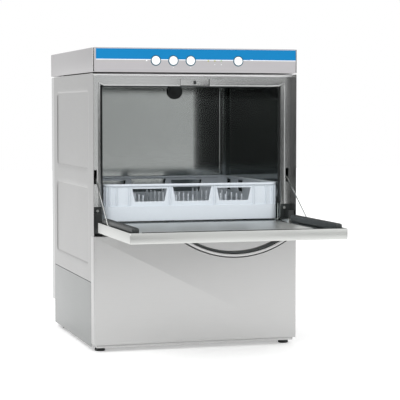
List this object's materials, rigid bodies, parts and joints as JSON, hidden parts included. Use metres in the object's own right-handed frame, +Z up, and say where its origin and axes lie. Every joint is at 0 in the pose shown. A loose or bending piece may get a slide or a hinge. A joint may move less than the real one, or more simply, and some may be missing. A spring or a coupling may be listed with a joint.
{
  "type": "commercial dishwasher",
  "caption": "Front-loading undercounter dishwasher for commercial kitchens: boxy steel cabinet, drop-down door, square rack, spray arms above and below, push-button control strip.",
  "frame": {"origin": "on the floor, under the middle of the outline with the door open", "axes": "+Z up, +Y to the back of the cabinet, +X to the right seen from the front"},
  "size_m": [0.575, 1.002, 0.82],
  "materials": {
    "stainless": "satin",
    "stainless_inner": "satin",
    "rear_steel": "satin",
    "blue_plastic": "gloss",
    "white_plastic": "gloss",
    "teal_plastic": "gloss",
    "lamp_lens": "gloss",
    "board_green": "matt",
    "black_plastic": "matt",
    "black_steel": "matt",
    "black_rubber": "matt",
    "pump_metal": "satin",
    "grey_pipe": "matt",
    "rack_plastic": "satin"
  },
  "bodies": {
    "cabinet": {"side_panel_left": "stainless", "side_panel_right": "stainless", "lower_side_panel_left": "stainless", "lower_side_panel_right": "stainless", "lower_front_panel": "stainless", "top_cover": "stainless", "control_fascia": "stainless", "front_frame": "stainless", "base_tray": "stainless", "frame_screws": "stainless", "wash_tank": "stainless_inner", "rack_runners": "stainless_inner", "tank_filters": "stainless_inner", "lower_arm_stem": "stainless_inner", "upper_arm_stem": "stainless_inner", "arm_caps": "stainless_inner", "overflow_standpipe": "stainless_inner", "heating_element": "stainless_inner", "boiler": "stainless_inner", "rear_cover": "rear_steel", "rear_lower_panel": "rear_steel", "blue_control_band": "blue_plastic", "button_bezels": "teal_plastic", "indicator_lamps": "lamp_lens", "control_board": "board_green", "hinge_liners": "black_plastic", "stay_guides": "black_plastic", "vent_cap": "black_plastic", "door_catch": "black_plastic", "levelling_feet": "black_plastic", "cable_gland": "black_plastic", "pump_volute": "black_plastic", "inlet_valve": "black_plastic", "drain_spigot": "black_plastic", "hinge_brackets": "black_steel", "opening_seal": "black_rubber", "suction_hose": "black_rubber", "pump_motor": "pump_metal", "lower_feed_pipe": "grey_pipe", "upper_feed_pipe": "grey_pipe"},
    "door": {"door_outer_skin": "stainless", "door_inner_panel": "stainless_inner", "door_handle": "stainless", "handle_liner": "black_plastic", "door_gasket": "black_rubber", "door_guides": "black_plastic", "door_hinge_arms": "black_steel"},
    "rack": {"rack_basket": "rack_plastic", "rack_pegs": "rack_plastic"},
    "stay_left": {"stay_rod_left": "stainless_inner"},
    "stay_right": {"stay_rod_right": "stainless_inner"},
    "lower_wash": {"lower_wash_arm": "stainless_inner"},
    "lower_rinse": {"lower_rinse_arm": "stainless_inner"},
    "upper_wash": {"upper_wash_arm": "stainless_inner"},
    "upper_rinse": {"upper_rinse_arm": "stainless_inner"},
    "pump_shaft": {"pump_rotor": "pump_metal"},
    "button_1": {"push_button_1": "white_plastic"},
    "button_2": {"push_button_2": "white_plastic"},
    "button_3": {"push_button_3": "white_plastic"},
    "button_4": {"push_button_4": "white_plastic"}
  },
  "joints": [
    {"name": "door_hinge", "type": "hinge", "parent": "cabinet", "child": "door", "pos_m": [0, -0.0904, 0.34], "axis": [-1, 0, 0], "range_deg": [0, 90]},
    {"name": "rack_slide", "type": "slide", "parent": "cabinet", "child": "rack", "axis": [0, 1, 0], "range_m": [-0.304, 0]},
    {"name": "stay_left_pivot", "type": "hinge", "parent": "door", "child": "stay_left", "pos_m": [-0.277, -0.234, 0.3508], "axis": [1, 0, 0], "range_deg": [0, 36]},
    {"name": "stay_right_pivot", "type": "hinge", "parent": "door", "child": "stay_right", "pos_m": [0.277, -0.234, 0.3508], "axis": [1, 0, 0], "range_deg": [0, 36]},
    {"name": "lower_wash_spin", "type": "hinge", "parent": "cabinet", "child": "lower_wash", "pos_m": [0, 0.1925, 0.31], "axis": [0, 0, 1], "continuous": true},
    {"name": "lower_rinse_spin", "type": "hinge", "parent": "cabinet", "child": "lower_rinse", "pos_m": [0, 0.1925, 0.33], "axis": [0, 0, 1], "continuous": true},
    {"name": "upper_wash_spin", "type": "hinge", "parent": "cabinet", "child": "upper_wash", "pos_m": [0, 0.1925, 0.738], "axis": [0, 0, 1], "continuous": true},
    {"name": "upper_rinse_spin", "type": "hinge", "parent": "cabinet", "child": "upper_rinse", "pos_m": [0, 0.1925, 0.728], "axis": [0, 0, 1], "continuous": true},
    {"name": "pump_spin", "type": "hinge", "parent": "cabinet", "child": "pump_shaft", "pos_m": [-0.15, 0.296, 0.11], "axis": [1, 0, 0], "continuous": true},
    {"name": "button_1_press", "type": "slide", "parent": "cabinet", "child": "button_1", "axis": [0, 1, 0], "range_m": [0, 0.003], "stiffness_N_per_m": 400},
    {"name": "button_2_press", "type": "slide", "parent": "cabinet", "child": "button_2", "axis": [0, 1, 0], "range_m": [0, 0.003], "stiffness_N_per_m": 400},
    {"name": "button_3_press", "type": "slide", "parent": "cabinet", "child": "button_3", "axis": [0, 1, 0], "range_m": [0, 0.003], "stiffness_N_per_m": 400},
    {"name": "button_4_press", "type": "slide", "parent": "cabinet", "child": "button_4", "axis": [0, 1, 0], "range_m": [0, 0.003], "stiffness_N_per_m": 400}
  ],
  "couplings": [
    {"joint": "stay_left_pivot", "follows": "door_hinge", "ratio": 0.4},
    {"joint": "stay_right_pivot", "follows": "door_hinge", "ratio": 0.4}
  ]
}
